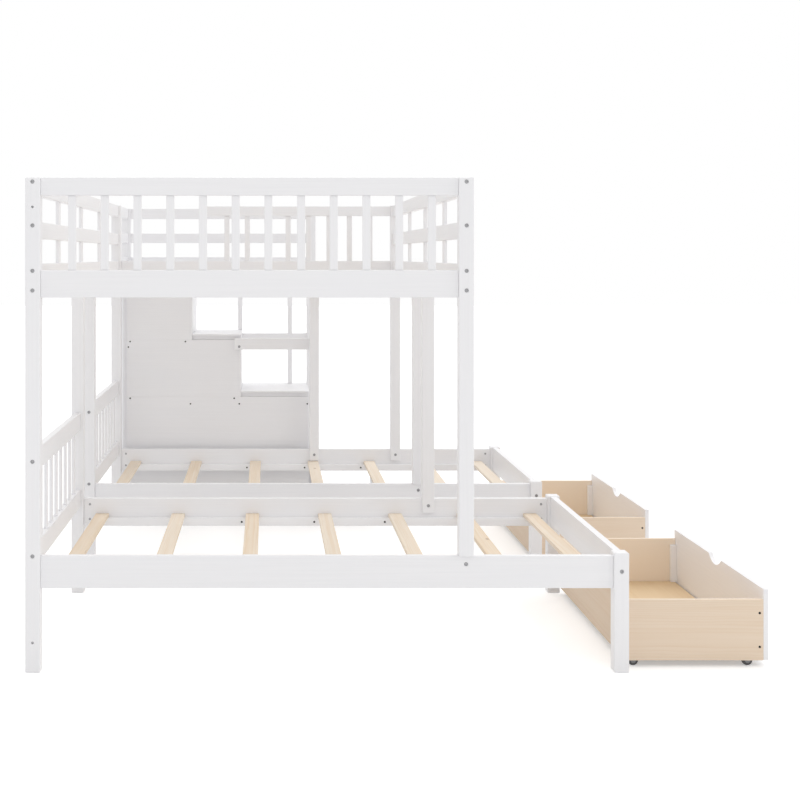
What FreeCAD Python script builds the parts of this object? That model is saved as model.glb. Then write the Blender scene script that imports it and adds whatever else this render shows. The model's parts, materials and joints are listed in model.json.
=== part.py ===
import FreeCAD, Part
import os

# Triple bunk bed: two single beds side by side, one wide bed over their head halves, a stepped
# storage stair behind, and a rolling drawer under the foot of each single bed, drawn out.
# Sizes are in millimetres. The pieces are made with X = 0 on the outer face of the head posts,
# Y = 0 on the front face of the front posts and Z = 0 on the floor, then centred for export.

# Timber stock
post = 50.0
rail_thick = 25.0
board_thick = 18.0
panel_thick = 15.0

# Single beds
bed_length = 2025.0
bed_width = 1065.0
bed_gap = 290.0
bed_rail_bottom = 280.0
bed_rail_height = 109.0
foot_post_height = 402.0
foot_post_round = 6.0
foot_panel_height = 118.0
headboard_low_bottom = 355.0
headboard_low_height = 75.0
headboard_high_bottom = 672.0
headboard_high_height = 75.0
headboard_slats = 8
headboard_slat_width = 27.0
headboard_slat_thick = 10.0
bed_slats = 7
bed_slat_width = 55.0
bed_slat_thick = 15.0
bed_slat_drop = 61.0
bed_slat_first = 77.0
bed_slat_last = 73.0
bed_slat_drift = 20.0
slat_end_play = 2.0
cleat_width = 25.0
cleat_end_gap = 45.0
cleat_screw_aside = 44.0

# Wide upper bed
upper_length = 1505.0
top_height = 1660.0
upper_bed_drop = 403.0
deck_side_height = 114.0
deck_front_height = 92.0
deck_cleat_height = 28.0
deck_cleat_screws = 6
deck_slats = 10
deck_beam_width = 60.0
tongue_end_gap = 2.0

# Guards round the upper bed
guard_top_height = 60.0
guard_mid_drop = 205.0
guard_mid_height = 58.0
guard_slat_width = 27.0
guard_slat_thick = 12.0
front_guard_slats = 12
front_guard_shift = 8.0
side_uprights = 3
side_upright_width = 45.0
side_upright_first = 479.0
side_upright_pitch = 588.0
entry_width = 405.0
entry_stile_width = 40.0
rear_guard_slats = 8
rear_guard_drop = 4.0
rear_guard_height = 51.0

# Stair
stair_depth = 440.0
stair_left = 72.0
filler_width = 20.0
top_tread_end = 417.0
upper_tread_end = 674.0
lower_tread_end = 1032.0
top_tread_lift = 27.0
stair_rise = 299.0
tread_thick = 30.0
tread_nosing = 10.0
tread_rebate = 12.0
stair_toe_height = 20.0
first_step_level = 318.0
first_step_run = 370.0
stair_guard_top_height = 57.0
stair_guard_mid_drop = 191.0
stair_guard_mid_height = 53.0
stair_guard_low_drop = 346.0
stair_guard_low_height = 76.0
low_rail_drop = 20.0
low_rail_height = 60.0
low_rail_lap = 34.0
baluster = 25.0
lower_baluster_setback = 106.0

# Drawers
drawer_clearance = 8.0
drawer_depth = 489.0
drawer_front_thick = 17.0
drawer_front_bottom = 24.0
drawer_front_height = 241.0
drawer_board = 15.0
drawer_box_bottom = 23.0
drawer_box_height = 207.0
drawer_base_level = 45.0
drawer_base_thick = 10.0
drawer_base_front_gap = 6.0
drawer_base_side_gap = 2.0
corner_block_length = 25.0
corner_block_width = 19.0
corner_block_drop = 24.0
notch_width = 132.0
notch_depth = 29.0

# Casters
wheel_radius = 17.5
wheel_width = 14.0
wheel_side_play = 0.5
axle_radius = 2.5
axle_play = 0.05
fork_thick = 2.5
fork_plate_length = 34.0
fork_cheek_length = 18.0
fork_wall_gap = 3.0
rear_fork_gap = 3.0
front_fork_gap = 15.0

# Bolts and screws
bolt_head_radius = 6.5
bolt_head_height = 4.0
bolt_radius = 3.0
bolt_bite = 45.0
screw_head_radius = 4.0
screw_head_height = 2.5
screw_radius = 1.8
screw_bite = 14.0
drill_play = 0.25
head_play = 0.5
head_sink = 0.6
wide_rail_bolt_edge = 24.0
guard_bolt_edge = 14.0
headboard_bolt_edge = 35.0
foot_panel_bolt_drop = 59.0
tongue_bolt_drop = 28.0
low_rail_bolt_edge = 16.0
panel_screw_edge = 20.0
shelf_screw_inset = 18.0
drawer_screw_edge = 46.0
nut_radius = 5.0
nut_length = 18.0
nut_setback = 25.0
spare_hole_radius = 4.5
spare_hole_depth = 12.0
spare_hole_low = 100.0
spare_hole_drop = 99.0

# Heights and places that follow from the sizes above
bed_rail_top = bed_rail_bottom + bed_rail_height
slat_top = bed_rail_top - bed_slat_drop
cleat_top = slat_top - bed_slat_thick
deck_rail_bottom = top_height - upper_bed_drop
deck_side_top = deck_rail_bottom + deck_side_height
deck_front_top = deck_rail_bottom + deck_front_height
deck_cleat_top = deck_rail_bottom + deck_cleat_height
guard_top_bottom = top_height - guard_top_height
guard_mid_bottom = top_height - guard_mid_drop
guard_mid_top = guard_mid_bottom + guard_mid_height
rear_guard_top = top_height - rear_guard_drop
rear_guard_bottom = rear_guard_top - rear_guard_height
stair_guard_mid_bottom = top_height - stair_guard_mid_drop
stair_guard_low_bottom = top_height - stair_guard_low_drop
top_tread_level = deck_rail_bottom + top_tread_lift
inset = (post - rail_thick) / 2
head_inner = post
foot_inner = bed_length - post
right_post = upper_length - post
near_mid = bed_width - post
far_bed = bed_width + bed_gap
rear_post = far_bed + bed_width - post
rear_face = rear_post + post
stair_front = rear_face + rail_thick
stair_back = stair_front + stair_depth
stair_inside = stair_front + panel_thick
outer_post = stair_back - post
drawer_width = bed_width - 2 * post - 2 * drawer_clearance
drawer_out = bed_length + drawer_depth
centre = FreeCAD.Vector(-drawer_out / 2, -stair_back / 2, 0)

ALONG_X = FreeCAD.Vector(1, 0, 0)
ALONG_Y = FreeCAD.Vector(0, 1, 0)

nodes = {}
drillings = {}


def box(x0, x1, y0, y1, z0, z1):
    return Part.makeBox(x1 - x0, y1 - y0, z1 - z0, FreeCAD.Vector(x0, y0, z0))


def rod(at, direction, radius, length):
    return Part.makeCylinder(radius, length, at, direction)


def add(node, *solids):
    nodes.setdefault(node, []).extend(solids)


def even(start, end, count, width=0.0):
    """Centres of a number of pieces that leave equal clear gaps between them in a space."""
    gap = (end - start - count * width) / (count + 1)
    return [start + gap * (i + 1) + width * (i + 0.5) for i in range(count)]


def spread(start, end, count):
    """Centres of a number of pieces that stand in the middle of equal shares of a space."""
    share = (end - start) / count
    return [start + share * (i + 0.5) for i in range(count)]


def drifting(start, end, count, drift):
    """Centres from start to end whose spacing falls evenly, first above its mean by the drift."""
    last = count - 1
    mean = (end - start) / last
    return [start + mean * i + drift * i * (last - i) / (last - 1) for i in range(count)]


def fasten(node, at, direction, length, through, head_radius, head_height, radius):
    """One headed fastener, sunk into the face at the given point, and its holes in what it holds."""
    seat = at + direction * (head_height + head_sink)
    head = rod(at + direction * head_sink, direction, head_radius, head_height)
    shank = rod(seat, direction, radius, length - head_height - head_sink)
    add(node, head.fuse(shank))
    recess = rod(at, direction, head_radius + head_play, head_height + head_sink)
    hole = rod(seat, direction, radius + drill_play, length)
    drillings.setdefault(through[0], []).append(recess)
    for held in through:
        drillings.setdefault(held, []).append(hole)


def bolt(x, y, z, direction, through, length=post + bolt_bite):
    fasten("frame_bolts", FreeCAD.Vector(x, y, z), direction, length, through,
           bolt_head_radius, bolt_head_height, bolt_radius)


def screw(node, x, y, z, direction, through, first_thick):
    fasten(node, FreeCAD.Vector(x, y, z), direction, first_thick + screw_bite, through,
           screw_head_radius, screw_head_height, screw_radius)


def barrel_nut(rail, x, face, z, inward):
    """A round nut let into the inner face of a rail, around a bolt in the middle of the rail."""
    seat = FreeCAD.Vector(x, face, z)
    nut = rod(seat + inward * head_sink, inward, nut_radius, nut_length)
    bolt_line = FreeCAD.Vector(x - nut_radius, face + inward.y * rail_thick / 2, z)
    add("barrel_nuts", nut.cut(rod(bolt_line, ALONG_X, bolt_radius + drill_play, 2 * nut_radius)))
    drillings.setdefault(rail, []).append(
        rod(seat, inward, nut_radius + drill_play, head_sink + nut_length))


def bolt_along_x(rail, left_post, right_post_name, right_face, y, heights):
    """Bolts through the posts at both ends of a rail that runs along X."""
    for z in heights:
        if left_post:
            bolt(0, y, z, ALONG_X, [left_post, rail])
        bolt(right_face, y, z, -ALONG_X, [right_post_name, rail])


def bolt_along_y(rail, near_post, far_post, near_face, far_face, x, heights):
    """Bolts through the posts at both ends of a rail that runs along Y."""
    for z in heights:
        bolt(x, near_face, z, ALONG_Y, [near_post, rail])
        bolt(x, far_face, z, -ALONG_Y, [far_post, rail])


def head_post(y, top):
    return box(0, post, y, y + post, 0, top)


def notched_post(x, y, top, inside):
    """A post that stands on a single bed's rail, with a tongue down the rail's inner face."""
    stem = box(x, x + post, y, y + post, bed_rail_top, top)
    tongue_y = y + post - inset if inside > 0 else y
    tongue = box(x, x + post, tongue_y, tongue_y + inset, slat_top + tongue_end_gap, bed_rail_top)
    return stem.fuse(tongue).removeSplitter()


def posts():
    add("front_left_post", head_post(0, top_height))
    for z in (spare_hole_low, top_height - spare_hole_drop):
        drillings.setdefault("front_left_post", []).append(
            rod(FreeCAD.Vector(post / 2, 0, z), ALONG_Y, spare_hole_radius, spare_hole_depth))
    add("near_mid_left_post", head_post(near_mid, deck_rail_bottom))
    add("far_mid_left_post", head_post(far_bed, deck_rail_bottom))
    add("rear_left_post", head_post(rear_post, top_height))
    standing = (
        ("front_right_upper_post", right_post, 0, top_height, 1, "near_bed_front_rail"),
        ("near_mid_right_upper_post", right_post, near_mid, deck_rail_bottom, -1, "near_bed_rear_rail"),
        ("far_mid_right_upper_post", right_post, far_bed, deck_rail_bottom, 1, "far_bed_front_rail"),
        ("rear_right_upper_post", right_post, rear_post, top_height, -1, "far_bed_rear_rail"),
        ("stair_support_post", lower_tread_end, rear_post, deck_rail_bottom, -1, "far_bed_rear_rail"),
    )
    for name, x, y, top, inside, rail in standing:
        add(name, notched_post(x, y, top, inside))
        first_face = y + inset if inside > 0 else y
        order = [rail, name] if inside > 0 else [name, rail]
        bolt(x + post / 2, first_face, bed_rail_top - tongue_bolt_drop, ALONG_Y, order,
             rail_thick + inset)


def single_bed(bed, y, head_near, head_far):
    """Rails, foot end, headboard, cleats and slats of one single bed whose front face is at y."""
    back = y + bed_width
    for foot_y in (y, back - post):
        foot = box(foot_inner, bed_length, foot_y, foot_y + post, 0, foot_post_height)
        rim = [e for e in foot.Edges if e.BoundBox.ZMin > foot_post_height - foot_post_round]
        add(bed + "_foot_posts", foot.makeFillet(foot_post_round, rim))
    near_line = y + inset
    far_line = back - inset - rail_thick
    rails = ((bed + "_front_rail", near_line, head_near, near_line + rail_thick, -ALONG_Y),
             (bed + "_rear_rail", far_line, head_far, far_line, ALONG_Y))
    heights = (bed_rail_bottom + wide_rail_bolt_edge, bed_rail_top - wide_rail_bolt_edge)
    for name, rail_y, head, inner_face, into_rail in rails:
        add(name, box(head_inner, foot_inner, rail_y, rail_y + rail_thick,
                      bed_rail_bottom, bed_rail_top))
        bolt_along_x(name, head, bed + "_foot_posts", bed_length, rail_y + rail_thick / 2, heights)
        for x in (head_inner + nut_setback, foot_inner - nut_setback):
            for z in heights:
                barrel_nut(name, x, inner_face, z, into_rail)
    panel_top = bed_rail_bottom + foot_panel_height
    panel_x = bed_length - inset - rail_thick
    add("foot_panels", box(panel_x, panel_x + rail_thick, y + post, back - post,
                           bed_rail_bottom, panel_top))
    bolt_along_y("foot_panels", bed + "_foot_posts", bed + "_foot_posts", y, back,
                 panel_x + rail_thick / 2, [panel_top - foot_panel_bolt_drop])
    headboard(bed, y, back, head_near, head_far)
    slatted_base(bed, y + inset + rail_thick, back - inset - rail_thick)


def headboard(bed, y, back, head_near, head_far):
    name = bed + "_headboard_rails"
    mid = post / 2
    for low, high in ((headboard_low_bottom, headboard_low_height),
                      (headboard_high_bottom, headboard_high_height)):
        add(name, box(inset, inset + rail_thick, y + post, back - post, low, low + high))
        bolt_along_y(name, head_near, head_far, y, back, mid, [low + headboard_bolt_edge])
    for slat_y in even(y + post, back - post, headboard_slats):
        add(bed + "_headboard_slats",
            box(mid - headboard_slat_thick / 2, mid + headboard_slat_thick / 2,
                slat_y - headboard_slat_width / 2, slat_y + headboard_slat_width / 2,
                headboard_low_bottom + headboard_low_height, headboard_high_bottom))


def slatted_base(bed, inner_near, inner_far):
    """Two cleats, screwed to the side rails beside the middle slats, with the loose slats on them."""
    screw_z = (bed_rail_bottom + cleat_top) / 2
    places = drifting(head_inner + bed_slat_first, foot_inner - bed_slat_last, bed_slats, bed_slat_drift)
    for rail_face, inward, rail in ((inner_near, ALONG_Y, bed + "_front_rail"),
                                    (inner_far, -ALONG_Y, bed + "_rear_rail")):
        face = rail_face + inward.y * cleat_width
        add("bed_slat_cleats", box(head_inner + cleat_end_gap, foot_inner - cleat_end_gap,
                                   min(rail_face, face), max(rail_face, face),
                                   bed_rail_bottom, cleat_top))
        for x in places[2:-2]:
            screw("frame_screws", x - cleat_screw_aside, face, screw_z, -inward,
                  ["bed_slat_cleats", rail], cleat_width)
    for x in places:
        add(bed + "_slats", box(x - bed_slat_width / 2, x + bed_slat_width / 2,
                                inner_near + slat_end_play, inner_far - slat_end_play,
                                cleat_top, slat_top))


def upper_deck():
    side_heights = (deck_rail_bottom + wide_rail_bolt_edge, deck_side_top - wide_rail_bolt_edge)
    sides = (("deck_left_rail", 0, "front_left_post", "rear_left_post"),
             ("deck_right_rail", right_post, "front_right_upper_post", "rear_right_upper_post"))
    for name, x, near_post, far_post in sides:
        add(name, box(x + inset, x + inset + rail_thick, post, rear_post,
                      deck_rail_bottom, deck_side_top))
        bolt_along_y(name, near_post, far_post, 0, rear_face, x + post / 2, side_heights)
    ends = (("deck_front_rail", 0, deck_front_top, "front_left_post", "front_right_upper_post"),
            ("deck_rear_rail", rear_post, deck_side_top, "rear_left_post", "rear_right_upper_post"))
    for name, y, top, left, right in ends:
        add(name, box(post, right_post, y + inset, y + inset + rail_thick, deck_rail_bottom, top))
        bolt_along_x(name, left, right, upper_length, y + post / 2, [(deck_rail_bottom + top) / 2])
    left_face = inset + rail_thick
    right_face = right_post + inset
    screw_z = (deck_rail_bottom + deck_cleat_top) / 2
    for rail_face, inward, rail in ((left_face, ALONG_X, "deck_left_rail"),
                                    (right_face, -ALONG_X, "deck_right_rail")):
        face = rail_face + inward.x * cleat_width
        add("deck_supports", box(min(rail_face, face), max(rail_face, face), post, rear_post,
                                 deck_rail_bottom, deck_cleat_top))
        for y in even(post, rear_post, deck_cleat_screws):
            screw("frame_screws", face, y, screw_z, -inward, ["deck_supports", rail], cleat_width)
    beam_x = upper_length / 2
    add("deck_supports", box(beam_x - deck_beam_width / 2, beam_x + deck_beam_width / 2,
                             inset + rail_thick, rear_post + inset, deck_rail_bottom, deck_cleat_top))
    for y in spread(post, rear_post, deck_slats):
        add("deck_slats", box(left_face + slat_end_play, right_face - slat_end_play,
                              y - bed_slat_width / 2, y + bed_slat_width / 2,
                              deck_cleat_top, deck_cleat_top + bed_slat_thick))


def guard_slat(x, y, bottom, top):
    """One upright slat of the front or rear guard, between a deck rail and the guard's top rail."""
    return box(x - guard_slat_width / 2, x + guard_slat_width / 2,
               y - guard_slat_thick / 2, y + guard_slat_thick / 2, bottom, top)


def front_guard():
    add("front_guard_top_rail", box(post, right_post, inset, inset + rail_thick,
                                    guard_top_bottom, top_height))
    bolt_along_x("front_guard_top_rail", "front_left_post", "front_right_upper_post",
                 upper_length, post / 2, [top_height - guard_top_height / 2])
    for x in even(post, right_post, front_guard_slats, guard_slat_width):
        add("front_guard_slats", guard_slat(x + front_guard_shift, post / 2,
                                            deck_front_top, guard_top_bottom))


def side_guard(name, x, near_post, far_post):
    for low, high in ((guard_mid_bottom, guard_mid_height), (guard_top_bottom, guard_top_height)):
        add(name, box(x + inset, x + inset + rail_thick, post, rear_post, low, low + high))
        bolt_along_y(name, near_post, far_post, 0, rear_face, x + post / 2,
                     [low + high - guard_bolt_edge])
    mid = x + post / 2
    for i in range(side_uprights):
        y = post + side_upright_first + i * side_upright_pitch
        for low, high in ((deck_side_top, guard_mid_bottom), (guard_mid_top, guard_top_bottom)):
            add("side_guard_uprights",
                box(mid - guard_slat_thick / 2, mid + guard_slat_thick / 2,
                    y - side_upright_width / 2, y + side_upright_width / 2, low, high))


def rear_guard():
    """The guard beside the stair, which leaves the entry open next to the rear left post."""
    stile = post + entry_width
    rail_start = stile + entry_stile_width
    y = rear_post + inset
    add("rear_guard_slats", box(stile, rail_start, y, y + rail_thick, deck_side_top, rear_guard_top))
    add("rear_guard_top_rail", box(rail_start, right_post, y, y + rail_thick,
                                   rear_guard_bottom, rear_guard_top))
    bolt_along_x("rear_guard_top_rail", None, "rear_right_upper_post",
                 upper_length, rear_post + post / 2, [(rear_guard_bottom + rear_guard_top) / 2])
    for x in even(rail_start, right_post, rear_guard_slats):
        add("rear_guard_slats", guard_slat(x, rear_post + post / 2, deck_side_top, rear_guard_bottom))


def stair_storeys():
    """The tread level, right end and deck board of each storey of the stair, lowest first."""
    ends = (lower_tread_end, upper_tread_end, top_tread_end)
    storeys = []
    for i, end in enumerate(ends):
        level = top_tread_level - stair_rise * (len(ends) - 1 - i)
        deck_top = level - tread_thick
        storeys.append((level, end, deck_top - board_thick, deck_top))
    return storeys


def stair_walls_at(end):
    """Left faces of the upright boards in a storey that ends at the given place."""
    edges = (top_tread_end, upper_tread_end, lower_tread_end)
    return [stair_left] + [edge - board_thick for edge in edges if edge <= end]


def nosed_tread(x0, x1, deck_top, level):
    """A tread whose front is rebated below a thin nosing."""
    plate = box(x0, x1, stair_front, stair_back, level - tread_nosing, level)
    base = box(x0, x1, stair_front + tread_rebate, stair_back, deck_top, level - tread_nosing)
    return plate.fuse(base).removeSplitter()


def stair_carcass():
    """Uprights, shelves, treads, bed-side panels that cover their decks' edges, and a filler strip."""
    floor = 0
    storeys = stair_storeys()
    for i, (level, end, deck_bottom, deck_top) in enumerate(storeys):
        walls = stair_walls_at(end)
        for x in walls:
            add("stair_walls", box(x, x + board_thick, stair_inside, stair_back, floor, deck_bottom))
        add("stair_shelves", box(stair_left, end, stair_inside, stair_back, deck_bottom, deck_top))
        add("stair_bed_side_panels", box(stair_left, end, stair_front, stair_inside,
                                         floor if i else stair_toe_height, deck_top))
        if i == 0:
            half_way = (stair_toe_height + deck_bottom) / 2
            for left, right in zip(walls, walls[1:]):
                for z in (stair_toe_height, half_way):
                    add("stair_shelves", box(left + board_thick, right, stair_inside, stair_back,
                                             z, z + board_thick))
        tread_start = storeys[i + 1][1] if i + 1 < len(storeys) else stair_left
        add("stair_treads", nosed_tread(tread_start, end, deck_top, level))
        for x in walls[:1] if i else walls[1:]:
            screw("frame_screws", x + board_thick / 2, stair_front, deck_bottom - panel_screw_edge,
                  ALONG_Y, ["stair_bed_side_panels", "stair_walls"], panel_thick)
        if i:
            for x in (stair_left + shelf_screw_inset, walls[-1] - shelf_screw_inset):
                screw("frame_screws", x, stair_front, floor - board_thick / 2, ALONG_Y,
                      ["stair_bed_side_panels", "stair_shelves"], panel_thick)
        floor = deck_top
    add("stair_walls", box(stair_left - filler_width, stair_left,
                           stair_inside, stair_inside + board_thick, 0, storeys[-1][2]))


def first_step():
    """The low step at the foot of the stair, a tread between the lowest storey and an end board."""
    end = lower_tread_end + first_step_run
    under = first_step_level - tread_thick
    add("stair_treads", box(lower_tread_end, end, stair_front, outer_post, under, first_step_level))
    add("stair_walls", box(end - board_thick, end, stair_front, outer_post, 0, under))


def stair_guard():
    for x in (0, lower_tread_end):
        add("stair_outer_posts", box(x, x + post, outer_post, stair_back, 0, top_height))
    heights = ((stair_guard_low_bottom, stair_guard_low_height),
               (stair_guard_mid_bottom, stair_guard_mid_height),
               (top_height - stair_guard_top_height, stair_guard_top_height))
    line = outer_post + inset
    for low, high in heights:
        add("stair_rails", box(post, lower_tread_end, line, line + rail_thick, low, low + high))
        add("stair_rails", box(inset, inset + rail_thick, rear_face, outer_post, low, low + high))
        z = low + high / 2
        bolt_along_x("stair_rails", "stair_outer_posts", "stair_outer_posts", lower_tread_end + post,
                     line + rail_thick / 2, [z])
        bolt(post / 2, stair_back, low + high - guard_bolt_edge, -ALONG_Y,
             ["stair_outer_posts", "stair_rails"])
    upper_level = top_tread_level - stair_rise
    lower_level = upper_level - stair_rise
    low_rail_top = upper_level - low_rail_drop
    low_rail = low_rail_top - low_rail_height
    low_rail_mid = low_rail + low_rail_height / 2
    add("stair_rails", box(upper_tread_end, lower_tread_end, line, line + rail_thick,
                           low_rail, low_rail_top))
    add("stair_rails", box(upper_tread_end - low_rail_lap, lower_tread_end + post,
                           rear_face, stair_front, low_rail, low_rail_top))
    bolt_along_x("stair_rails", None, "stair_outer_posts", lower_tread_end + post, line + rail_thick / 2,
                 [low_rail_mid])
    bolt(lower_tread_end + post / 2, stair_front, low_rail_mid, -ALONG_Y,
         ["stair_rails", "stair_support_post"], rail_thick + post / 2)
    bolt(upper_tread_end - board_thick / 2, rear_face, low_rail + low_rail_bolt_edge, ALONG_Y,
         ["stair_rails", "stair_bed_side_panels", "stair_walls"], rail_thick + panel_thick + bolt_bite)
    for x, foot in ((upper_tread_end - baluster, upper_level),
                    (lower_tread_end - lower_baluster_setback, lower_level)):
        middle = line + rail_thick / 2
        baluster_box = box(x, x + baluster, middle - baluster / 2, middle + baluster / 2,
                           foot, stair_guard_low_bottom)
        if foot < low_rail:
            crossing = box(x, x + baluster, line, line + rail_thick, low_rail, low_rail_top)
            baluster_box = baluster_box.cut(crossing)
        add("stair_balusters", *baluster_box.Solids)


def notched_front(x, y):
    """A drawer front with a scooped hand notch in the middle of its top edge."""
    top = drawer_front_bottom + drawer_front_height
    front = box(x, x + drawer_front_thick, y, y + drawer_width, drawer_front_bottom, top)
    radius = (notch_width ** 2 / 4 + notch_depth ** 2) / (2 * notch_depth)
    middle = FreeCAD.Vector(x, y + drawer_width / 2, top - notch_depth + radius)
    return front.cut(rod(middle, ALONG_X, radius, drawer_front_thick))


def caster_fork(x, y):
    """A pressed fork with its riveted axle, centred on the wheel at x, y, under the drawer's base."""
    half_gap = wheel_width / 2 + wheel_side_play
    half_outer = half_gap + fork_thick
    plate = box(x - fork_plate_length / 2, x + fork_plate_length / 2, y - half_outer, y + half_outer,
                drawer_base_level - fork_thick, drawer_base_level)
    axle = rod(FreeCAD.Vector(x, y - half_outer, wheel_radius), ALONG_Y, axle_radius, 2 * half_outer)
    fork = plate.fuse(axle)
    for cheek_y in (y - half_outer, y + half_gap):
        cheek = box(x - fork_cheek_length / 2, x + fork_cheek_length / 2, cheek_y, cheek_y + fork_thick,
                    wheel_radius, drawer_base_level - fork_thick)
        lobe = rod(FreeCAD.Vector(x, cheek_y, wheel_radius), ALONG_Y, fork_cheek_length / 2, fork_thick)
        fork = fork.fuse(cheek).fuse(lobe)
    return fork.removeSplitter()


def caster_wheel(x, y):
    at = FreeCAD.Vector(x, y - wheel_width / 2, wheel_radius)
    tread = rod(at, ALONG_Y, wheel_radius, wheel_width)
    return tread.cut(rod(at, ALONG_Y, axle_radius + axle_play, wheel_width))


def drawer(bed, bed_y):
    """One rolling drawer, drawn out until its back is level with the foot posts."""
    name = bed + "_drawer"
    y = bed_y + post + drawer_clearance
    far = y + drawer_width
    x = bed_length
    front_x = drawer_out - drawer_front_thick
    top = drawer_box_bottom + drawer_box_height
    base_top = drawer_base_level + drawer_base_thick
    block_x = front_x - corner_block_length
    inner_near = y + drawer_board
    inner_far = far - drawer_board
    add(name + "_front", notched_front(front_x, y))
    for side_y in (y, inner_far):
        add(name + "_box", box(x, front_x, side_y, side_y + drawer_board, drawer_box_bottom, top))
    add(name + "_box", box(x, x + drawer_board, inner_near, inner_far, drawer_box_bottom, top))
    for block_y in (inner_near, inner_far - corner_block_width):
        add(name + "_front", box(block_x, front_x, block_y, block_y + corner_block_width,
                                 base_top, top - corner_block_drop))
    add(name + "_base", box(x + drawer_board, front_x - drawer_base_front_gap,
                            inner_near + drawer_base_side_gap, inner_far - drawer_base_side_gap,
                            drawer_base_level, base_top))
    for face, direction in ((y, ALONG_Y), (far, -ALONG_Y)):
        for z in (drawer_box_bottom + drawer_screw_edge, top - drawer_screw_edge):
            screw(name + "_screws", block_x + corner_block_length / 2, face, z, direction,
                  [name + "_box", name + "_front"], drawer_board)
            screw(name + "_screws", x + drawer_board / 2, face, z, direction,
                  [name + "_box"], drawer_board)
    fork_half = wheel_width / 2 + wheel_side_play + fork_thick
    from_wall = drawer_board + fork_wall_gap + fork_half
    fork_reach = drawer_board + fork_plate_length / 2
    wheel_rows = (("_rear_wheels", x + fork_reach + rear_fork_gap),
                  ("_front_wheels", front_x - fork_reach - front_fork_gap))
    for row, wheel_x in wheel_rows:
        for wheel_y in (y + from_wall, far - from_wall):
            add(name + "_casters", caster_fork(wheel_x, wheel_y))
            add(name + row, caster_wheel(wheel_x, wheel_y))


posts()
single_bed("near_bed", 0, "front_left_post", "near_mid_left_post")
single_bed("far_bed", far_bed, "far_mid_left_post", "rear_left_post")
upper_deck()
front_guard()
side_guard("left_guard_rails", 0, "front_left_post", "rear_left_post")
side_guard("right_guard_rails", right_post, "front_right_upper_post", "rear_right_upper_post")
rear_guard()
stair_carcass()
first_step()
stair_guard()
drawer("near_bed", 0)
drawer("far_bed", far_bed)

os.makedirs("parts", exist_ok=True)
for name, solids in nodes.items():
    finished = []
    for solid in solids:
        near = [hole for hole in drillings.get(name, []) if hole.BoundBox.intersect(solid.BoundBox)]
        drilled = solid.cut(near) if near else solid
        finished.extend(drilled.Solids)
    shape = Part.makeCompound(finished)
    shape.translate(centre)
    shape.exportStep("parts/" + name + ".step")
    print(name, len(finished), [round(value, 1) for value in (
        shape.BoundBox.XMin, shape.BoundBox.XMax, shape.BoundBox.YMin, shape.BoundBox.YMax,
        shape.BoundBox.ZMin, shape.BoundBox.ZMax)], shape.isValid())
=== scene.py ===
import json
import math
import random

import bmesh
import bpy
from mathutils import Matrix, Vector

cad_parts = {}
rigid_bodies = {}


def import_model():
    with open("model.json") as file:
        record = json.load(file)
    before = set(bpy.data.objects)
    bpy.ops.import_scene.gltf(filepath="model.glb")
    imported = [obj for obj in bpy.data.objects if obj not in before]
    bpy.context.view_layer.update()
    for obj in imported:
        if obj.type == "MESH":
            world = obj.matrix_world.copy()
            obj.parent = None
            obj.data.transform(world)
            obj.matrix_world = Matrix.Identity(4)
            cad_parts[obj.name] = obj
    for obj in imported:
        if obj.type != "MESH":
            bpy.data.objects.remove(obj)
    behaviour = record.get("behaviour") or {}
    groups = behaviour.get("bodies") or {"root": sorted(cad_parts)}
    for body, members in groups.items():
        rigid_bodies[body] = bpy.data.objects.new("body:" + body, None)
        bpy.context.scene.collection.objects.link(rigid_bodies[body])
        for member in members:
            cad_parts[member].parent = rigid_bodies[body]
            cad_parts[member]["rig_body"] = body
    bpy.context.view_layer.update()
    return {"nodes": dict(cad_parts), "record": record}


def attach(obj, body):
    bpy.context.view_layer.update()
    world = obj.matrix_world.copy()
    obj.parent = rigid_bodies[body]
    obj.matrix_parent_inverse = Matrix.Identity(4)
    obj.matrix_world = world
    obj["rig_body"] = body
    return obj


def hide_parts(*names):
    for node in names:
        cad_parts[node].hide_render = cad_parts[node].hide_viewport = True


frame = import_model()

# The looks of a white triple bunk bed: painted boards with eased edges, bare pine slats and drawer
# boxes, sunk bolts and screws, and small casters. All lengths are in metres, in the CAD frame.

# The camera stands in front of the bed, a little above its upper deck, and looks straight along +Y.
CAMERA_PLACE = (-0.446, -5.7165, 1.3966)
CAMERA_TURN = (math.radians(90), 0.0, 0.0)
CAMERA_LENS = 57.41
CAMERA_SENSOR = 36.0
CAMERA_SHIFT = (0.16625, -0.18)

# The sky's light on the bed, and the far studio lights: where each shines to, and its strength
SKY_STRENGTH = 0.62
STUDIO_LIGHTS = {
    "front_diffuser": ((0.15, 1.0, -0.90), 0.22),
    "left_diffuser": ((1.0, 0.35, -0.80), 0.30),
    "right_diffuser": ((-1.0, 0.35, -0.60), 0.60),
    "rear_diffuser": ((-0.10, -0.60, -1.0), 0.90),
}
# The angle that each of these lights fills, seen from the bed
LIGHT_SPREAD = math.radians(45)

# The stage's floor, and the white that it adds where the camera or a reflection sees it
FLOOR_SIZE = 60.0
FLOOR_WHITE = (0.900, 0.900, 0.900)
FLOOR_ROUGHNESS = 0.9
FLOOR_GLOW = 0.35

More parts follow.
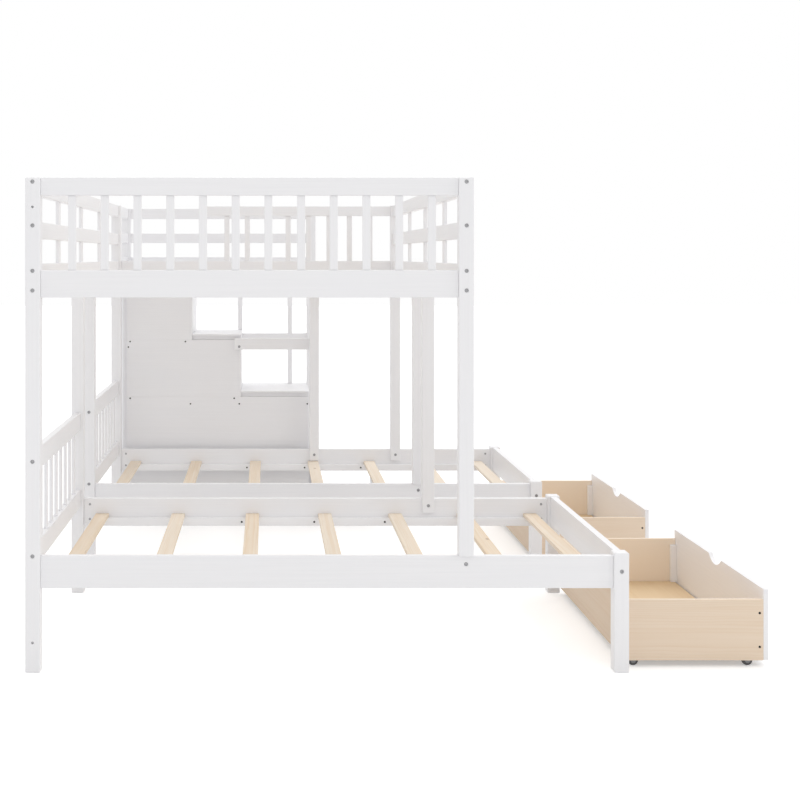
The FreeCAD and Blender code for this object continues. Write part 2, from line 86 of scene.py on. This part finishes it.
# Colours, as linear values
WHITE_LIGHT = (1.0, 1.0, 1.0, 1.0)
PAINT = (0.905, 0.899, 0.911)
PAINT_STREAK = (0.882, 0.876, 0.890)
PAINT_COOL = (0.893, 0.891, 0.909)
SLAT_LIGHT = (0.850, 0.752, 0.632)
SLAT_DARK = (0.785, 0.625, 0.450)
DRAWER_LIGHT = (0.842, 0.700, 0.560)
DRAWER_DARK = (0.792, 0.626, 0.464)
# Painted light: a paler pine for the drawers' inner faces, which lifts the shade inside the drawers
DRAWER_INNER_PAINTED_LIGHT = (0.905, 0.788, 0.655)
BASE_LIGHT = (0.800, 0.620, 0.400)
BASE_DARK = (0.720, 0.520, 0.310)
KNOT = (0.330, 0.190, 0.100)
BOLT_STEEL = (0.420, 0.420, 0.430)
SCREW_BLACK = (0.055, 0.053, 0.052)
CASTER_STEEL = (0.240, 0.240, 0.245)
WHEEL_GREY = (0.085, 0.083, 0.085)
WHEEL_WORN = (0.150, 0.147, 0.150)

# Noise scales in a board's own directions: along the grain, across the face and through it
PAINT_RIDGES = (3.0, 150.0, 150.0)
PAINT_CLOUDS = (2.5, 7.0, 7.0)
PAINT_ROLLER = (420.0, 420.0, 420.0)
PINE_SWAY = (1.6, 9.0, 9.0)
PINE_FIBRES = (10.0, 900.0, 900.0)
PINE_STREAKS = (2.0, 60.0, 60.0)
KNOT_CELLS = (3.0, 5.5, 1.0)

# Pine: how far rings wander, how deep the tree's heart lies under the face, where in a ring the late
# wood starts, and how much rings, streaks and fibres darken the wood
RING_SWAY = 0.022
HEART_DEPTH = (0.03, 0.09)
EARLY_WOOD = 0.15
LATE_WOOD = 0.85
RING_SHARPNESS = 2.5
RING_SHADE = 0.45
STREAK_SHADE = 0.5
FIBRE_SHADE = 0.08
KNOT_CORE = 0.012
KNOT_RIM = 0.050
KNOT_SHARE = 0.75
# Painted light: how far the inner faces of the drawer boards take a paler colour that lifts their
# shade
INNER_PAINTED_LIGHT_SHARE = 0.9

# Bumps: a depth and a strength
RIDGE_BUMP = (0.0005, 0.35)
ROLLER_BUMP = (0.0002, 0.25)
FIBRE_BUMP = (0.0002, 0.3)
RING_BUMP = (0.0003, 0.25)
PLATING_BUMP = (0.0001, 0.15)
MOULD_BUMP = (0.0001, 0.3)

# Noise scales of metal and plastic, and the brightness of plating where it is dull
PLATING_SCALE = 260.0
PLATING_FINE = 1500.0
PLATING_DULL = 0.82
SCUFF_SCALE = 180.0
MOULD_SCALE = 2200.0

# Rounding of edges
POST_EDGE = 0.0030
RAIL_EDGE = 0.0025
SLAT_EDGE = 0.0020
PANEL_EDGE = 0.0012
NUT_EDGE = 0.0005
FORK_EDGE = 0.0004
WHEEL_EDGE = 0.0015
EDGE_SEGMENTS = 3

# Which edges are sharp, which faces are one flat face, and which chords belong to hole rims
SHARP_ANGLE = math.radians(40)
FLAT_ANGLE = math.radians(0.5)
RIM_CHORD = 0.005

# Points closer than this are one point, as a distance and as digits of a metre
SAME_PLACE = 0.00001
MERGE_DIGITS = 6

# Where a board's grain is cut from: the spread of its offset in the grain's three directions
GRAIN_OFFSET = (20, 0.05, 0.02)

# Bolt and screw heads: points around, the socket's radius as a share of the head's, the shape of the
# cross recess, and the share of the radius past which a point belongs to the head
AROUND = 24
HEX_SOCKET = 0.42
CROSS_SOCKET = 0.40
CROSS_ARM = 1.5
CROSS_GAP = 0.55
CROSS_HALF_ARM = math.radians(10)
HEAD_RIM = 0.9
# The head's softened edge as a share of its radius, and the socket's depth, taper and lip
HEAD_SOFT = 0.18
SOCKET_DEPTH = 0.72
SOCKET_TAPER = 0.92
SOCKET_LIP = 1.06
TIP_RADIUS = 0.5


def new_material(name):
    material = bpy.data.materials.new(name)
    material.use_nodes = True
    tree = material.node_tree
    return material, tree, tree.nodes["Principled BSDF"]


def add(tree, kind, settings=None, **inputs):
    """One shader node. An input is a value, or a socket of another node to link from."""
    made = tree.nodes.new("ShaderNode" + kind)
    for key, value in (settings or {}).items():
        setattr(made, key, value)
    for key, value in inputs.items():
        socket = made.inputs[int(key[1:]) if key[0] == "i" and key[1:].isdigit() else key]
        if isinstance(value, bpy.types.NodeSocket):
            tree.links.new(value, socket)
        else:
            socket.default_value = value
    return made


def math_node(tree, operation, *values):
    return add(tree, "Math", {"operation": operation},
               **{"i%d" % i: value for i, value in enumerate(values)}).outputs[0]


def mix_colour(tree, factor, first, second):
    mixed = add(tree, "Mix", {"data_type": "RGBA"})
    for index, value in ((0, factor), (6, first), (7, second)):
        if isinstance(value, bpy.types.NodeSocket):
            tree.links.new(value, mixed.inputs[index])
        else:
            mixed.inputs[index].default_value = value if index == 0 else (*value, 1.0)
    return mixed.outputs[2]


def attribute(tree, name):
    return add(tree, "Attribute", {"attribute_name": name})


def grain_noise(tree, stretch, detail=4.0, roughness=0.55):
    """Noise in a board's own directions: along the grain, across the face and through it."""
    placed = add(tree, "Mapping", Vector=attribute(tree, "grain").outputs["Vector"], Scale=stretch)
    noise = add(tree, "TexNoise", Vector=placed.outputs[0], Scale=1.0, Detail=detail,
                Roughness=roughness)
    return noise.outputs[0]


def object_noise(tree, scale, detail=3.0):
    place = add(tree, "TexCoord").outputs["Object"]
    return add(tree, "TexNoise", Vector=place, Scale=scale, Detail=detail).outputs[0]


def remap(tree, value, low, high, to_low=0.0, to_high=1.0):
    ranged = add(tree, "MapRange", {"clamp": True})
    tree.links.new(value, ranged.inputs[0])
    for index, number in enumerate((low, high, to_low, to_high), start=1):
        ranged.inputs[index].default_value = number
    return ranged.outputs[0]


def bump(tree, shader, *layers):
    """Stacks bump layers, each a height socket, a depth in metres and a strength."""
    normal = None
    for height, depth, strength in layers:
        made = add(tree, "Bump", Height=height, Distance=depth, Strength=strength)
        if normal is not None:
            tree.links.new(normal, made.inputs["Normal"])
        normal = made.outputs[0]
    tree.links.new(normal, shader.inputs["Normal"])


def painted_wood():
    """White satin paint over pine: the grain shows through as faint ridges, with roller texture."""
    material, tree, shader = new_material("white_painted_wood")
    streaks = grain_noise(tree, PAINT_RIDGES, detail=5.0, roughness=0.6)
    clouds = grain_noise(tree, PAINT_CLOUDS, detail=2.0)
    roller = grain_noise(tree, PAINT_ROLLER, detail=2.0)
    base = mix_colour(tree, remap(tree, streaks, low=0.42, high=0.72), PAINT, PAINT_STREAK)
    cool = remap(tree, clouds, low=0.45, high=0.75, to_high=0.8)
    tree.links.new(mix_colour(tree, cool, base, PAINT_COOL), shader.inputs["Base Color"])
    sheen = remap(tree, clouds, low=0.3, high=0.7, to_low=0.36, to_high=0.50)
    tree.links.new(sheen, shader.inputs["Roughness"])
    bump(tree, shader, (streaks, *RIDGE_BUMP), (roller, *ROLLER_BUMP))
    return material


def growth_rings(tree, across, depth, pitch):
    """Rings around the tree's heart: slow to darken, quick to pale again."""
    radius = math_node(tree, "SQRT", math_node(tree, "ADD",
                                               math_node(tree, "MULTIPLY", across, across),
                                               math_node(tree, "MULTIPLY", depth, depth)))
    phase = math_node(tree, "FRACT", math_node(tree, "DIVIDE", radius, pitch))
    early = remap(tree, phase, low=EARLY_WOOD, high=LATE_WOOD)
    late = remap(tree, phase, low=LATE_WOOD, high=1.0, to_low=1.0, to_high=0.0)
    return math_node(tree, "MULTIPLY", math_node(tree, "POWER", early, RING_SHARPNESS), late)


def bare_pine(name, light, dark, ring_pitch, board_spread, knots, inner=None):
    """Planed softwood: growth rings cut lengthwise, fine fibres, and now and then a knot.

    Boards differ in tone by board_spread. Faces towards the node's middle can take a paler colour, as
    painted light.
    """
    material, tree, shader = new_material(name)
    grain = attribute(tree, "grain").outputs["Vector"]
    board = attribute(tree, "board").outputs["Fac"]
    split = add(tree, "SeparateXYZ", Vector=grain)
    sway = grain_noise(tree, PINE_SWAY, detail=3.0)
    fibres = grain_noise(tree, PINE_FIBRES, detail=3.0)
    streaks = grain_noise(tree, PINE_STREAKS, detail=4.0)
    across = math_node(tree, "ADD", split.outputs[1],
                       remap(tree, sway, 0.0, 1.0, -RING_SWAY, RING_SWAY))
    depth = math_node(tree, "ADD", split.outputs[2], remap(tree, board, 0.0, 1.0, *HEART_DEPTH))
    rings = growth_rings(tree, across, depth, ring_pitch)
    shade = math_node(tree, "MULTIPLY", rings, RING_SHADE)
    for part in (remap(tree, streaks, low=0.35, high=0.75, to_high=STREAK_SHADE),
                 remap(tree, board, 0.0, 1.0, -board_spread, board_spread),
                 remap(tree, fibres, 0.3, 0.7, -FIBRE_SHADE, FIBRE_SHADE)):
        shade = math_node(tree, "ADD", shade, part)
    colour = mix_colour(tree, remap(tree, shade, low=0.0, high=1.0), light, dark)
    if inner is not None:
        # Painted light: faces towards the node's middle take the paler inner colour, which brightens
        # their shade
        side = attribute(tree, "inner").outputs["Fac"]
        colour = mix_colour(tree, remap(tree, side, 0.0, 1.0, to_high=INNER_PAINTED_LIGHT_SHARE), colour, inner)
    if knots:
        cells = add(tree, "Mapping", Vector=grain, Scale=KNOT_CELLS).outputs[0]
        spots = add(tree, "TexVoronoi", {"feature": "F1"}, Scale=1.0, Randomness=1.0, Vector=cells)
        knot = remap(tree, spots.outputs["Distance"], KNOT_CORE, KNOT_RIM, KNOT_SHARE, 0.0)
        colour = mix_colour(tree, knot, colour, KNOT)
    tree.links.new(colour, shader.inputs["Base Color"])
    planed = remap(tree, fibres, low=0.3, high=0.7, to_low=0.55, to_high=0.72)
    tree.links.new(planed, shader.inputs["Roughness"])
    bump(tree, shader, (fibres, *FIBRE_BUMP), (rings, *RING_BUMP))
    return material


def plated_steel(name, colour, roughness):
    """Plated or blackened steel with a slightly uneven, dull surface."""
    material, tree, shader = new_material(name)
    plating = object_noise(tree, PLATING_SCALE)
    dull = tuple(value * PLATING_DULL for value in colour)
    tree.links.new(mix_colour(tree, remap(tree, plating, low=0.35, high=0.7), colour, dull),
                   shader.inputs["Base Color"])
    shader.inputs["Metallic"].default_value = 1.0
    tree.links.new(remap(tree, plating, 0.3, 0.7, roughness - 0.08, roughness + 0.10),
                   shader.inputs["Roughness"])
    bump(tree, shader, (object_noise(tree, PLATING_FINE), *PLATING_BUMP))
    return material


def wheel_plastic():
    """Dark grey moulded plastic, dusty and scuffed pale in patches."""
    material, tree, shader = new_material("caster_wheel_plastic")
    scuffs = object_noise(tree, SCUFF_SCALE, detail=5.0)
    tree.links.new(mix_colour(tree, remap(tree, scuffs, low=0.45, high=0.75), WHEEL_GREY, WHEEL_WORN),
                   shader.inputs["Base Color"])
    tree.links.new(remap(tree, scuffs, low=0.3, high=0.7, to_low=0.42, to_high=0.62),
                   shader.inputs["Roughness"])
    bump(tree, shader, (object_noise(tree, MOULD_SCALE), *MOULD_BUMP))
    return material


def solids_of(mesh):
    """The mesh's closed solids, one after another, each as a list of faces made of points."""
    points = [tuple(round(value, MERGE_DIGITS) for value in vertex.co) for vertex in mesh.vertices]
    faces, unmatched = [], set()
    for polygon in mesh.polygons:
        corners = [points[index] for index in polygon.vertices]
        faces.append(corners)
        for start, end in zip(corners, corners[1:] + corners[:1]):
            unmatched ^= {(min(start, end), max(start, end))}
        if not unmatched:
            yield faces
            faces = []


def joined_solid(faces):
    """One solid as a bmesh with shared corners and whole flat faces."""
    shape = bmesh.new()
    corners = {}
    for face in faces:
        for point in face:
            if point not in corners:
                corners[point] = shape.verts.new(point)
        shape.faces.new([corners[point] for point in face])
    bmesh.ops.dissolve_limit(shape, angle_limit=FLAT_ANGLE, verts=shape.verts, edges=shape.edges)
    return shape


def ease_edges(shape, width):
    """Rounds the long sharp edges of a board, and leaves the rims of its holes."""
    edges = [edge for edge in shape.edges
             if edge.is_manifold and edge.calc_length() > RIM_CHORD
             and edge.calc_face_angle() > SHARP_ANGLE and edge.is_convex]
    bmesh.ops.bevel(shape, geom=edges, offset=width, offset_type="OFFSET", segments=EDGE_SEGMENTS,
                    profile=0.5, affect="EDGES", clamp_overlap=True)


def box_of(points):
    """The lowest and the highest corner of the box around points."""
    return tuple(Vector(end(point[axis] for point in points) for axis in range(3))
                 for end in (min, max))


def grain_frame(vertices):
    """The middle of a board, and its axes from the longest side to the shortest."""
    low, high = box_of([vertex.co for vertex in vertices])
    size = high - low
    return (low + high) / 2, sorted(range(3), key=lambda axis: -size[axis])


def shown_piece(name, mesh, material, node):
    """Puts a finished mesh in the scene, in place of a CAD node and on its body."""
    mesh.materials.append(material)
    piece = bpy.data.objects.new(name, mesh)
    bpy.context.scene.collection.objects.link(piece)
    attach(piece, frame["nodes"][node]["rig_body"])
    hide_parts(node)
    return piece


def dress_boards(node, material, edge_width):
    """Boards with eased edges, whose grain runs along each board, in place of a CAD node."""
    draw = random.Random(node)
    whole = bmesh.new()
    grain = whole.verts.layers.float_vector.new("grain")
    tone = whole.verts.layers.float.new("board")
    inner = whole.verts.layers.float.new("inner")
    node_mesh = frame["nodes"][node].data
    node_middle = grain_frame(node_mesh.vertices)[0]
    for faces in solids_of(node_mesh):
        shape = joined_solid(faces)
        ease_edges(shape, edge_width)
        middle, axes = grain_frame(shape.verts)
        inward = (node_middle - middle)[axes[2]]
        offset = Vector([draw.uniform(-spread, spread) for spread in GRAIN_OFFSET])
        board_tone = draw.random()
        copies = {}
        for vertex in shape.verts:
            copy = whole.verts.new(vertex.co)
            local = vertex.co - middle
            copy[grain] = Vector(local[axis] for axis in axes) + offset
            copy[tone] = board_tone
            # Marks the faces towards the node's middle, which the drawer pine paints paler as painted
            # light
            copy[inner] = 1.0 if local[axes[2]] * inward > 0 else 0.0
            copies[vertex] = copy
        for face in shape.faces:
            whole.faces.new([copies[vertex] for vertex in face.verts]).smooth = True
        shape.free()
    mesh = bpy.data.meshes.new(node + "_boards")
    whole.to_mesh(mesh)
    whole.free()
    mesh.set_sharp_from_angle(angle=SHARP_ANGLE)
    piece = shown_piece(node + "_boards", mesh, material, node)
    weighted = piece.modifiers.new("even_faces", "WEIGHTED_NORMAL")
    weighted.keep_sharp = True


def hexagon(angle):
    """Distance from the middle to the side of a hexagon of unit inner radius, in a direction."""
    turn = math.radians(60)
    return 1.0 / math.cos((angle + turn / 2) % turn - turn / 2)


def cross(angle):
    """The same for a cross recess, with narrow arms at the quarters."""
    quarter = math.radians(90)
    from_arm = abs((angle + quarter / 2) % quarter - quarter / 2)
    return CROSS_ARM if from_arm < CROSS_HALF_ARM else CROSS_GAP


def turned(shape, rings, place):
    """Skins rings of points, each a distance along the axis and a radius for every direction."""
    rows = []
    for along, radius_at in rings:
        row = []
        for step in range(AROUND):
            angle = 2 * math.pi * step / AROUND
            radius = radius_at(angle)
            point = Vector((radius * math.cos(angle), radius * math.sin(angle), along))
            row.append(shape.verts.new(place @ point))
        rows.append(row)
    for first, second in zip(rows, rows[1:]):
        for step in range(AROUND):
            after = (step + 1) % AROUND
            shape.faces.new([first[step], first[after], second[after], second[step]])
    return rows


def round_at(radius):
    return lambda angle: radius


def fastener(shape, faces, socket, socket_radius):
    """One bolt or screw: a softened head with a socket, and its shank, in place of a plain CAD one."""
    points = [Vector(point) for face in faces for point in face]
    low, high = box_of(points)
    middle, size = (low + high) / 2, high - low
    axis = max(range(3), key=lambda index: size[index])

    def on_axis(value):
        """The point of the fastener's own axis at a given coordinate along it."""
        return Vector(value if index == axis else middle[index] for index in range(3))

    head_radius = max(size[index] for index in range(3) if index != axis) / 2
    wide = [point for point in points
            if (point - on_axis(point[axis])).length > head_radius * HEAD_RIM]
    head_side = 1.0 if sum(point[axis] - middle[axis] for point in wide) > 0 else -1.0
    face_end, tip = (high[axis], low[axis]) if head_side > 0 else (low[axis], high[axis])
    seat = min((point[axis] for point in wide), key=lambda value: -abs(value - face_end))
    shank_radius = max((point - on_axis(tip)).length for point in points
                       if abs(point[axis] - tip) < SAME_PLACE)
    outward = Vector(head_side if index == axis else 0.0 for index in range(3))
    turn = outward.to_track_quat("Z", "Y").to_matrix().to_4x4()
    head_height, length = abs(face_end - seat), abs(face_end - tip)
    soft = head_radius * HEAD_SOFT
    inner = head_radius * socket_radius
    rings = [
        (-head_height * SOCKET_DEPTH, lambda angle: inner * SOCKET_TAPER * socket(angle)),
        (-soft * 0.25, lambda angle: inner * socket(angle)),
        (0.0, lambda angle: inner * SOCKET_LIP * socket(angle)),
        (-soft * 0.10, round_at(head_radius - soft)),
        (-soft * 0.45, round_at(head_radius - soft * 0.3)),
        (-soft, round_at(head_radius)),
        (-head_height, round_at(head_radius)),
        (-head_height, round_at(shank_radius)),
        (-length + shank_radius, round_at(shank_radius)),
        (-length, round_at(shank_radius * TIP_RADIUS)),
    ]
    rows = turned(shape, rings, Matrix.Translation(on_axis(face_end)) @ turn)
    shape.faces.new(list(reversed(rows[0])))
    shape.faces.new(rows[-1])


def dress_fasteners(node, material, socket, socket_radius):
    """All bolts or screws of a node, with sockets, in place of the CAD ones."""
    shape = bmesh.new()
    for faces in solids_of(frame["nodes"][node].data):
        fastener(shape, faces, socket, socket_radius)
    bmesh.ops.recalc_face_normals(shape, faces=shape.faces)
    for face in shape.faces:
        face.smooth = True
    mesh = bpy.data.meshes.new(node + "_heads")
    shape.to_mesh(mesh)
    shape.free()
    mesh.set_sharp_from_angle(angle=SHARP_ANGLE)
    shown_piece(node + "_heads", mesh, material, node)


def dress_metal(node, material, edge_width):
    """A CAD node that keeps its shape, with its own material and slightly broken edges."""
    part = frame["nodes"][node]
    part.data.materials.clear()
    part.data.materials.append(material)
    weld = part.modifiers.new("shared_corners", "WELD")
    weld.merge_threshold = SAME_PLACE
    bevel = part.modifiers.new("broken_edges", "BEVEL")
    bevel.width = edge_width
    bevel.segments = 2
    bevel.limit_method = "ANGLE"
    bevel.angle_limit = SHARP_ANGLE


def painted_edge(node):
    """How far the edges of painted boards are rounded, by the kind of board."""
    if node.endswith(("_post", "_posts")):
        return POST_EDGE
    if node.endswith(("_panels", "_shelves", "_walls", "_front", "_uprights")):
        return PANEL_EDGE
    return SLAT_EDGE if node.endswith("_slats") else RAIL_EDGE


node_slots = {entry["node"]: entry["material_slot"] for entry in frame["record"]["subparts"]}
white = painted_wood()
slat_pine = bare_pine("bare_slat_pine", SLAT_LIGHT, SLAT_DARK,
                      ring_pitch=0.0035, board_spread=0.34, knots=True)
# The drawer boards' inner faces get a paler colour, painted light for their shaded insides
drawer_pine = bare_pine("drawer_pine", DRAWER_LIGHT, DRAWER_DARK,
                        ring_pitch=0.0060, board_spread=0.12, knots=True, inner=DRAWER_INNER_PAINTED_LIGHT)
base_pine = bare_pine("drawer_base_pine", BASE_LIGHT, BASE_DARK,
                      ring_pitch=0.0080, board_spread=0.12, knots=False)
bolt_steel = plated_steel("bolt_steel", BOLT_STEEL, roughness=0.42)
screw_steel = plated_steel("screw_steel", SCREW_BLACK, roughness=0.50)
caster_steel = plated_steel("caster_steel", CASTER_STEEL, roughness=0.45)
wheel_grey = wheel_plastic()

for node, slot_name in sorted(node_slots.items()):
    if slot_name == "white_wood":
        dress_boards(node, white, painted_edge(node))
    elif slot_name == "slat_pine":
        dress_boards(node, slat_pine, SLAT_EDGE)
    elif slot_name == "drawer_pine":
        dress_boards(node, base_pine if node.endswith("_base") else drawer_pine, PANEL_EDGE)
    elif node == "frame_bolts":
        dress_fasteners(node, bolt_steel, hexagon, HEX_SOCKET)
    elif node == "barrel_nuts":
        dress_metal(node, bolt_steel, NUT_EDGE)
    elif slot_name == "screw_steel":
        dress_fasteners(node, screw_steel, cross, CROSS_SOCKET)
    elif slot_name == "caster_steel":
        dress_metal(node, caster_steel, FORK_EDGE)
    else:
        dress_metal(node, wheel_grey, WHEEL_EDGE)


def either(tree, *rays):
    """One where any of the kinds of ray is seen, and else nought."""
    seen = rays[0]
    for ray in rays[1:]:
        seen = math_node(tree, "MAXIMUM", seen, ray)
    return seen


def studio_world():
    """White to the camera and to reflections, and dimmer as light on the bed."""
    world = bpy.data.worlds.new("studio")
    bpy.context.scene.world = world
    world.use_nodes = True
    tree = world.node_tree
    tree.nodes.clear()
    path = add(tree, "LightPath").outputs
    seen = either(tree, path["Is Camera Ray"], path["Is Glossy Ray"], path["Is Transmission Ray"])
    light = add(tree, "Background", Color=WHITE_LIGHT, Strength=SKY_STRENGTH)
    backdrop = add(tree, "Background", Color=WHITE_LIGHT, Strength=1.0)
    mixed = add(tree, "MixShader", i0=seen, i1=light.outputs[0], i2=backdrop.outputs[0])
    output = add(tree, "OutputWorld")
    tree.links.new(mixed.outputs[0], output.inputs[0])


def studio_floor():
    """A pale floor that looks white and keeps a soft trace of the bed's shadow."""
    bpy.ops.mesh.primitive_plane_add(size=FLOOR_SIZE, location=(0.0, 0.0, 0.0))
    floor = bpy.context.object
    floor.name = "studio_floor"
    material, tree, shader = new_material("studio_floor")
    shader.inputs["Base Color"].default_value = (*FLOOR_WHITE, 1.0)
    shader.inputs["Roughness"].default_value = FLOOR_ROUGHNESS
    shader.inputs["Specular IOR Level"].default_value = 0.0
    path = add(tree, "LightPath").outputs
    seen = either(tree, path["Is Camera Ray"], path["Is Glossy Ray"])
    shader.inputs["Emission Color"].default_value = WHITE_LIGHT
    tree.links.new(math_node(tree, "MULTIPLY", seen, FLOOR_GLOW), shader.inputs["Emission Strength"])
    floor.data.materials.append(material)


def broad_light(name, towards, strength):
    """A far, very wide light, as from a large diffuser, that shines in the given direction."""
    lamp = bpy.data.lights.new(name, "SUN")
    lamp.energy = strength
    lamp.angle = LIGHT_SPREAD
    holder = bpy.data.objects.new(name, lamp)
    holder.rotation_euler = Vector(towards).to_track_quat("-Z", "Y").to_euler()
    bpy.context.scene.collection.objects.link(holder)


def photo_camera():
    data = bpy.data.cameras.new("photo_camera")
    data.lens = CAMERA_LENS
    data.sensor_width = CAMERA_SENSOR
    data.shift_x, data.shift_y = CAMERA_SHIFT
    camera = bpy.data.objects.new("photo_camera", data)
    camera.location = CAMERA_PLACE
    camera.rotation_euler = CAMERA_TURN
    bpy.context.scene.collection.objects.link(camera)
    bpy.context.scene.camera = camera


studio_world()
studio_floor()
for light_name, (towards, strength) in STUDIO_LIGHTS.items():
    broad_light(light_name, towards, strength)
photo_camera()
bpy.context.scene.view_settings.view_transform = "Standard"
